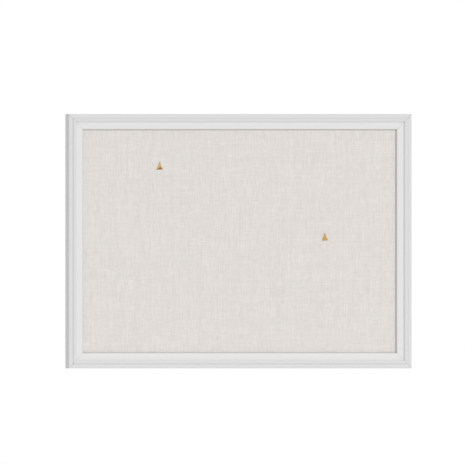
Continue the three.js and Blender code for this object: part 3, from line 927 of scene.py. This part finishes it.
def nail_slots(rail, back, moulding):
    """Cutters for the V nails at a rail's two corners: each nail's angle, wider all round by its room."""
    room = moulding.nail_slot
    sheet = moulding.nail_sheet
    shapes = []
    for corner in (corner for corner in CORNERS if rail in corner.split("_")):
        for place in NAIL_PLACES:
            low, high = box_of(f"v_nail_{corner}_{place}")
            arm = high[0] - low[0]
            towards = np.array([1 if "left" in corner else -1, 1 if "bottom" in corner else -1])
            heel = np.where(towards > 0, low[[0, 2]], high[[0, 2]])
            edge, inside, tip = -room, sheet + room, arm + room
            angle_piece = np.array(
                [(edge, edge), (tip, edge), (tip, inside), (inside, inside), (inside, tip), (edge, tip)]
            )
            shapes.append(prism(heel + towards * angle_piece, low[1] - room, back + room))
    return joined_prisms("nail_slots", shapes)


def coat_rear(mesh, middle, paint):
    """Gives plain paint to a rail's points behind the middle of its depth, because the new points at the
    slots come with none."""
    places = np.empty((len(mesh.vertices), 3), np.float32)
    tones = np.empty((len(mesh.vertices), 4), np.float32)
    coat_and_shade = mesh.attributes["coat_and_shade"].data
    mesh.vertices.foreach_get("co", places.ravel())
    coat_and_shade.foreach_get("color", tones.ravel())
    tones[places[:, 1] > middle] = opaque(paint)
    coat_and_shade.foreach_set("color", tones.ravel())


def make_rails(settings):
    """The four rails of the frame, each mitred and slotted for its V nails."""
    moulding = settings.moulding
    low, high = box_of("bottom_rail")
    face, depth, back = high[2] - low[2], high[1] - low[1], high[1]
    rebate = back - box_of("linen_cover")[0][1] + settings.panel.seat_gap
    width, height = np.array(CAD_BOX[1] - CAD_BOX[0])[[0, 2]]
    section = moulding_section(moulding, face, depth, rebate)
    tones = coat_and_shade_tones(moulding, section, face, depth, rebate)
    paint = material_of(satin_white_paint, moulding)
    for rail, turn in RAIL_TURNS.items():
        upright = rail in SIDES
        span, reach = (height, width / 2) if upright else (width, height / 2)
        mesh = rail_mesh(f"painted_{rail}_rail", turn, span, reach, section, tones, back, moulding)
        mesh = carved(mesh, nail_slots(rail, back, moulding))
        coat_rear(mesh, back - depth / 2, moulding.paint)
        add_piece(mesh, paint, "board", "white_paint", f"{rail}_rail")


class PINBOARD_OT_rails(bpy.types.Operator):
    """Make the four painted rails of the frame"""

    bl_idname = "pin_board.rails"
    bl_label = "Frame Rails"

    def execute(self, context):
        make_rails(context.scene.pin_board)
        return {"FINISHED"}


class PINBOARD_OT_v_nails(bpy.types.Operator):
    """Finish the V nails across the mitres"""

    bl_idname = "pin_board.v_nails"
    bl_label = "V Nails"

    def execute(self, context):
        steel = material_of(plain_steel, context.scene.pin_board.pins)
        for corner in CORNERS:
            for place in NAIL_PLACES:
                dress(f"v_nail_{corner}_{place}", steel)
        return {"FINISHED"}


# Linen panel


LINEN_CELLS = (60, 40)


def linen_mesh(low, high, panel):
    """The linen's outer surface: a flat grid in front, then rings of the same rectangle that follow a
    quarter circle round each fold, the panel's edge between them, and the turn-back behind."""
    half = (high - low)[[0, 2]] / 2
    inset, depth = rounded_edge(low[1], high[1], panel.fold_round, CURVE_STEPS // 2)
    inset = np.append(inset, panel.turn_back)
    depth = np.append(depth, high[1])
    columns, rows = LINEN_CELLS
    x, z = np.meshgrid(np.linspace(-1, 1, columns + 1), np.linspace(-1, 1, rows + 1))
    front = np.stack([x, z], axis=-1)
    index = numbered(front)
    rim = np.concatenate([index[0, :-1], index[:-1, -1], index[-1, :0:-1], index[:0:-1, 0]])
    sizes = half - inset[:, None]
    flat = front.reshape(-1, 2) * sizes[0]
    rings = front.reshape(-1, 2)[rim] * sizes[1:, None]
    across = np.concatenate([flat, rings.reshape(-1, 2)]) + middle_of("linen_cover")
    y = np.concatenate([np.full(len(flat), depth[0]), np.repeat(depth[1:], len(rim))])
    points = np.stack([across[:, 0], y, across[:, 1]], axis=-1)
    ring_index = np.concatenate([rim[None], len(flat) + numbered(rings)])
    wrap = quads(ring_index, ring_columns=True)[:, ::-1]
    return new_mesh("linen_sheet", points, np.concatenate([quads(index), wrap]).tolist())


def pinholes(front, panel):
    """Cutters for the holes that the needles leave in the linen: upright rounds at the needles' places."""
    ring = arc((0, 0), panel.pinhole / 2, 0, FULL_TURN, CURVE_STEPS)[:-1]
    shapes = [
        prism(ring + middle_of(f"{pin}_pin_needle"), front - panel.cloth, front + 2 * panel.cloth)
        for pin in SIDES
    ]
    return joined_prisms("pinholes", shapes)


def make_linen(settings):
    """The linen cover, one sheet stretched over the core and turned behind it."""
    panel = settings.panel
    low, high = box_of("linen_cover")
    sheet = placed("sheet", linen_mesh(low, high, panel))
    thickness = sheet.modifiers.new("thickness", "SOLIDIFY")
    thickness.thickness = panel.cloth
    thickness.offset = -1
    mesh = carved(final_mesh(sheet), pinholes(low[1], panel))
    piece = add_piece(mesh, material_of(plain_weave_linen, panel), "board", "linen", "linen_cover")


class PINBOARD_OT_linen(bpy.types.Operator):
    """Make the linen cover"""

    bl_idname = "pin_board.linen"
    bl_label = "Linen Cover"

    def execute(self, context):
        make_linen(context.scene.pin_board)
        return {"FINISHED"}


def eased_board(name, node, ease):
    """A flat board with rounded arrises: its rectangle drawn in round the edges of both faces."""
    low, high = box_of(node)
    inset, y = rounded_edge(low[1], high[1], ease)
    corners = np.array([(-1, -1), (1, -1), (1, 1), (-1, 1)])
    half = (high - low)[[0, 2]] / 2 - inset[:, None]
    return tube(name, rings_at(middle_of(node) + corners * half[:, None], y))


class PINBOARD_OT_boards(bpy.types.Operator):
    """Make the backing board and finish the pinning core"""

    bl_idname = "pin_board.boards"
    bl_label = "Backing Board and Core"

    def execute(self, context):
        panel = context.scene.pin_board.panel
        mesh = eased_board("hardboard_back", "backing_board", panel.board_ease)
        add_piece(mesh, material_of(brown_hardboard, panel), "board", "hardboard", "backing_board")
        dress("pinning_core", material_of(soft_fibreboard, panel))
        return {"FINISHED"}


# Push pins


PIN_EDGE_POWER = 26
# How much painted shade the head gets towards its corners
CORNER_SHADE = 0.7

# Where a needle's point turns steeper: shares of its radius and of the point's length
POINT_WIDTH, POINT_START = 0.8, 0.3


def pin_head_mesh(name, centre, base, turn, face_shades, pins):
    """A three-sided pyramid with softened edges. Its outline at angle t is the power mean, to a high power,
    of the three sides' own distances in that direction, and it shrinks in a straight line to the point. Its
    attribute is painted shade: each face's own share, by the same powers, less towards the rim, and more
    towards the corners by the fourth power of the distance from the middle. Faces turned from the light come
    out browner, and those turned to it paler, as a painted highlight."""
    low, high = box_of("left_pin_head")
    width, height, tall = high - low
    slant = math.hypot(tall, width / 2)
    normals = np.array([(tall / slant, width / 2 / slant), (-tall / slant, width / 2 / slant), (0, -1)])
    side = 2 / 3 * tall * width / 2 / slant
    distances = np.array([side, side, tall / 3])
    angles = np.arange(3 * ROUND_STEPS) / (3 * ROUND_STEPS) * FULL_TURN
    ray = facing(angles)
    powers = np.clip(ray @ normals.T / distances, 0, None) ** PIN_EDGE_POWER
    radius = np.sum(powers, axis=1) ** (-1 / PIN_EDGE_POWER)
    outline = ray * radius[:, None]
    ease = pins.ease / (tall / 3)
    blunt = pins.point / width
    slope = np.linspace(1 - ease, blunt, CURVE_STEPS)
    rise = pins.rim + (height - pins.rim - pins.ease / 2) * (1 - ease - slope) / (1 - ease - blunt)
    share = np.concatenate([[1 - ease, 1, 1], slope, [blunt / 2]])
    front = np.concatenate([[0, pins.ease, pins.rim - pins.ease], rise, [height]])
    x, z = (outline * share[:, None, None]).transpose(2, 0, 1)
    flat = np.stack(turned(x, z, turn), axis=-1) + centre
    mesh = tube(name, rings_at(flat, base - front))
    # Painted shade: each face's set share, browner on faces turned from the light
    own_face = powers @ np.array(face_shades) / np.sum(powers, axis=1)
    corners = CORNER_SHADE * (share[:, None] * radius / radius.max()) ** 4
    dull = own_face * (1 - share[:, None] / 2) + corners
    painted_face_shade = mesh.attributes.new("painted_face_shade", "FLOAT", "POINT")
    painted_face_shade.data.foreach_set("value", dull.astype(np.float32).ravel())
    return mesh


def make_pins(pins):
    """The brass heads and steel needles of the push pins."""
    brass = material_of(satin_brass, pins)
    steel = material_of(plain_steel, pins)
    turns = {"left": 0, "right": pins.right_turn}
    # How much painted shade each pin's right, left and lower faces get
    pin_shades = {"left": pins.left_face_shade, "right": pins.right_face_shade}
    for pin in SIDES:
        low, high = box_of(f"{pin}_pin_needle")
        centre = middle_of(f"{pin}_pin_needle")
        base = box_of(f"{pin}_pin_head")[1][1]
        head = pin_head_mesh(f"{pin}_brass_head", centre, base, turns[pin], pin_shades[pin], pins)
        add_piece(head, brass, f"{pin}_pin", "brass", f"{pin}_pin_head")
        radius = (high[0] - low[0]) / 2
        shoulder = high[1] - pins.needle_point
        profile = [
            (radius, low[1]),
            (radius, shoulder),
            (POINT_WIDTH * radius, shoulder + POINT_START * pins.needle_point),
            (TIP_SHARE * radius, high[1]),
        ]
        needle = lathe(f"{pin}_steel_needle", profile, centre)
        add_piece(needle, steel, f"{pin}_pin", "nail_steel", f"{pin}_pin_needle")


class PINBOARD_OT_pins(bpy.types.Operator):
    """Make the two push pins"""

    bl_idname = "pin_board.pins"
    bl_label = "Push Pins"

    def execute(self, context):
        make_pins(context.scene.pin_board.pins)
        return {"FINISHED"}


# Fittings on the back


def button_mesh(name, node, pivot, fittings):
    """A turn button: a sheet between two outlines, the screw hole and the tag's own edge of two arcs joined
    by tangents. Its section runs up the hole, out over one face, round the eased edge and back."""
    low, high = box_of(node)
    size = (high - low)[[0, 2]]
    inwards = -np.sign(pivot[[0, 2]]) * (size == size.max())
    sideways = np.array([inwards[1], -inwards[0]])
    reach = size.max() - fittings.button_pivot - fittings.button_tip
    lean = math.asin((fittings.button_pivot - fittings.button_tip) / reach)
    big = arc((0, 0), 1, math.pi - lean, FULL_TURN + lean, 2 * CURVE_STEPS)
    small = arc((0, 0), 1, lean, math.pi - lean, 2 * CURVE_STEPS)
    normal = np.concatenate([big, small])
    edge = np.concatenate([big * fittings.button_pivot, small * fittings.button_tip + (0, reach)])
    spread = np.linspace(math.pi - lean, 3 * math.pi - lean, len(edge), endpoint=False)
    hole = facing(spread) * fittings.screw_hole
    inset, y = rounded_edge(high[1], low[1], fittings.sheet_ease)
    rings = edge - inset[:, None, None] * normal
    flat = np.concatenate([hole[None], rings, hole[None]])
    across = pivot[[0, 2]] + flat[..., :1] * sideways + flat[..., 1:] * inwards
    points = rings_at(across, np.concatenate([[high[1]], y, [low[1]]]))
    return tube(name, points, ring_rows=True)


class PINBOARD_OT_turn_buttons(bpy.types.Operator):
    """Make the turn buttons that hold the panel in"""

    bl_idname = "pin_board.turn_buttons"
    bl_label = "Turn Buttons"

    def execute(self, context):
        fittings = context.scene.pin_board.fittings
        zinc = material_of(zinc_plated_steel, fittings)
        for place in BUTTON_PLACES:
            node = f"turn_button_{place}"
            mesh = button_mesh(f"zinc_button_{place}", node, HINGES[f"button_{place}_turn"], fittings)
            add_piece(mesh, zinc, f"button_{place}", "zinc_plate", node)
        return {"FINISHED"}


RECESS_TAPER = 0.6
SCREW_STOP = math.radians(137)


def screw_mesh(long, fittings):
    """A pan-head wood screw turned about Y, its head standing behind y = 0, with a tapered cross recess."""
    head, shank = fittings.screw_head / 2, fittings.screw_shank / 2
    edge = fittings.screw_head_edge
    dome = fittings.screw_head_height - edge
    tip = TIP_SHARE * shank
    ease = fittings.sheet_ease
    profile = np.concatenate(
        [
            [(tip, -long), (shank, fittings.screw_point - long), (shank, 0), (head - ease, 0)],
            arc((head - ease, ease), ease, -QUARTER_TURN, 0, EASE_STEPS),
            arc((0, edge), (head, dome), 0, QUARTER_TURN)[:-1],
            [(tip, edge + dome)],
        ]
    )
    half, side = fittings.recess_length / 2, fittings.recess_width / 2
    cross = np.array(
        [
            (half, -side), (half, side), (side, side), (side, half), (-side, half), (-side, side),
            (-half, side), (-half, -side), (-side, -side), (-side, -half), (side, -half), (side, -side),
        ]
    )
    top = fittings.screw_head_height
    cutter = tube("recess", prism(cross, top - fittings.recess_depth, top + ease, RECESS_TAPER))
    return carved(lathe("screw", profile), cutter)


def make_screws(fittings):
    """All the pan-head screws, copies of one, each stopped at a turn of its own."""
    zinc = material_of(zinc_plated_steel, fittings)
    nodes = [f"turn_button_screw_{place}" for place in BUTTON_PLACES]
    nodes += [f"{side}_hanger_screw_{place}" for side in SIDES for place in HANGER_SCREWS]
    low, high = box_of(nodes[0])
    pattern = screw_mesh(high[1] - low[1] - fittings.screw_head_height, fittings)
    for i, node in enumerate(nodes):
        low, high = box_of(node)
        seat = Vector(((low + high) / 2))
        seat.y = high[1] - fittings.screw_head_height
        mesh = pattern.copy()
        mesh.name = f"zinc_{node}"
        mesh.transform(Matrix.Translation(seat) @ Matrix.Rotation(i * SCREW_STOP, 4, "Y"))
        add_piece(mesh, zinc, "board", "zinc_plate", node)
    bpy.data.meshes.remove(pattern)


class PINBOARD_OT_screws(bpy.types.Operator):
    """Make the screws of the turn buttons and hangers"""

    bl_idname = "pin_board.screws"
    bl_label = "Screws"

    def execute(self, context):
        make_screws(context.scene.pin_board.fittings)
        return {"FINISHED"}


EYE_END = math.radians(-50)


def strap_mesh(name, node, hinge, fittings):
    """A strap folded double round the ring's bar: a flat strip carried up one side, round the eye on an arc,
    and by a quadratic curve back to the other side and down."""
    low, high = box_of(node)
    sheet = fittings.strap_sheet
    near, far = low[1] + sheet / 2, low[1] + 1.5 * sheet + fittings.fold_gap
    eye = fittings.ring_wire / 2 + fittings.eye_clearance + sheet / 2
    bend = arc(hinge[1:], eye, math.pi, EYE_END)
    leave = bend[-1]
    drop = (leave[0] - far) * math.cos(EYE_END) / -math.sin(EYE_END)
    meet = (far, leave[1] - drop)
    foot = (far, meet[1] - eye)
    path = without_repeats(
        np.concatenate([[(near, low[2])], bend, bow(leave, meet, foot), [(far, low[2])]])
    )
    line = np.concatenate([np.full((len(path), 1), hinge[0]), path], axis=1)
    section = eased_rectangle(sheet, high[0] - low[0], fittings.sheet_ease)
    return tube(name, sweep(line, (1, 0, 0), section))


def ring_mesh(name, node, hinge, fittings):
    """A ring of bent wire: a round section carried along a straight bar, two bends, short sides and a half
    circle, then leant back about its bar to where it rests."""
    low, high = box_of(node)
    wire = fittings.ring_wire / 2
    half = (high[0] - low[0]) / 2 - wire
    corner = fittings.ring_corner
    side = fittings.ring_side
    bar = half - corner
    line = np.concatenate(
        [
            arc((bar, -corner), corner, QUARTER_TURN, 0),
            arc((0, -side), half, 0, -math.pi, 3 * CURVE_STEPS),
            arc((-bar, -corner), corner, math.pi, QUARTER_TURN),
        ]
    )
    lean = math.asin((high[1] - wire - hinge[1]) / (side + half))
    flat = np.stack([line[:, 0], -line[:, 1] * math.sin(lean), line[:, 1] * math.cos(lean)], axis=1)
    across = (0, math.cos(lean), math.sin(lean))
    section = arc((0, 0), wire, 0, FULL_TURN, CURVE_STEPS)[:-1]
    return tube(name, sweep(flat + hinge, across, section, closed=True), ring_rows=True)


class PINBOARD_OT_hangers(bpy.types.Operator):
    """Make the straps and rings that the board hangs by"""

    bl_idname = "pin_board.hangers"
    bl_label = "Ring Hangers"

    def execute(self, context):
        fittings = context.scene.pin_board.fittings
        zinc = material_of(zinc_plated_steel, fittings)
        for side in SIDES:
            hinge = HINGES[f"{side}_ring_swing"]
            strap = strap_mesh(f"{side}_zinc_strap", f"{side}_hanger_strap", hinge, fittings)
            add_piece(strap, zinc, "board", "zinc_plate", f"{side}_hanger_strap")
            ring = ring_mesh(f"{side}_zinc_ring", f"{side}_hanger_ring", hinge, fittings)
            add_piece(ring, zinc, f"{side}_ring", "zinc_plate", f"{side}_hanger_ring")
        return {"FINISHED"}


def bumper_mesh(name, node, fittings):
    """A round rubber foot: an upright rim, then a quarter ellipse up to its flat rear face."""
    low, high = box_of(node)
    rim, face = (high[0] - low[0]) / 2, fittings.bumper_face / 2
    shoulder = low[1] + fittings.bumper_edge
    crown = arc((face, shoulder), (rim - face, high[1] - shoulder), 0, QUARTER_TURN)
    ease = fittings.sheet_ease
    profile = np.concatenate([[(rim - ease, low[1]), (rim, low[1] + ease)], crown])
    return lathe(name, profile, middle_of(node))


class PINBOARD_OT_bumpers(bpy.types.Operator):
    """Make the rubber bumpers"""

    bl_idname = "pin_board.bumpers"
    bl_label = "Wall Bumpers"

    def execute(self, context):
        fittings = context.scene.pin_board.fittings
        rubber = material_of(moulded_rubber, fittings)
        for corner in CORNERS:
            mesh = bumper_mesh(f"rubber_bumper_{corner}", f"wall_bumper_{corner}", fittings)
            add_piece(mesh, rubber, "board", "black_rubber", f"wall_bumper_{corner}")
        return {"FINISHED"}


# Panel and registration


MAKERS = (
    PINBOARD_OT_stage,
    PINBOARD_OT_rails,
    PINBOARD_OT_v_nails,
    PINBOARD_OT_linen,
    PINBOARD_OT_boards,
    PINBOARD_OT_pins,
    PINBOARD_OT_turn_buttons,
    PINBOARD_OT_screws,
    PINBOARD_OT_hangers,
    PINBOARD_OT_bumpers,
)


class PINBOARD_PT_sidebar(bpy.types.Panel):
    """Lists the pieces of the pin board"""

    bl_idname = "PINBOARD_PT_sidebar"
    bl_label = "Pin Board"
    bl_space_type = "VIEW_3D"
    bl_region_type = "UI"
    bl_category = "Pin Board"

    def draw(self, context):
        for maker in MAKERS:
            self.layout.operator(maker.bl_idname)


CLASSES = (
    PINBOARD_PG_moulding,
    PINBOARD_PG_panel,
    PINBOARD_PG_pins,
    PINBOARD_PG_fittings,
    PINBOARD_PG_stage,
    PINBOARD_PG_settings,
    *MAKERS,
    PINBOARD_PT_sidebar,
)


def register():
    for entry in CLASSES:
        bpy.utils.register_class(entry)
    bpy.types.Scene.pin_board = PointerProperty(type=PINBOARD_PG_settings)


def unregister():
    del bpy.types.Scene.pin_board
    for entry in reversed(CLASSES):
        bpy.utils.unregister_class(entry)


def main():
    register()
    bpy.ops.pin_board.stage()
    bpy.ops.pin_board.rails()
    bpy.ops.pin_board.v_nails()
    bpy.ops.pin_board.linen()
    bpy.ops.pin_board.boards()
    bpy.ops.pin_board.pins()
    bpy.ops.pin_board.turn_buttons()
    bpy.ops.pin_board.screws()
    bpy.ops.pin_board.hangers()
    bpy.ops.pin_board.bumpers()


if __name__ == "__main__":
    main()
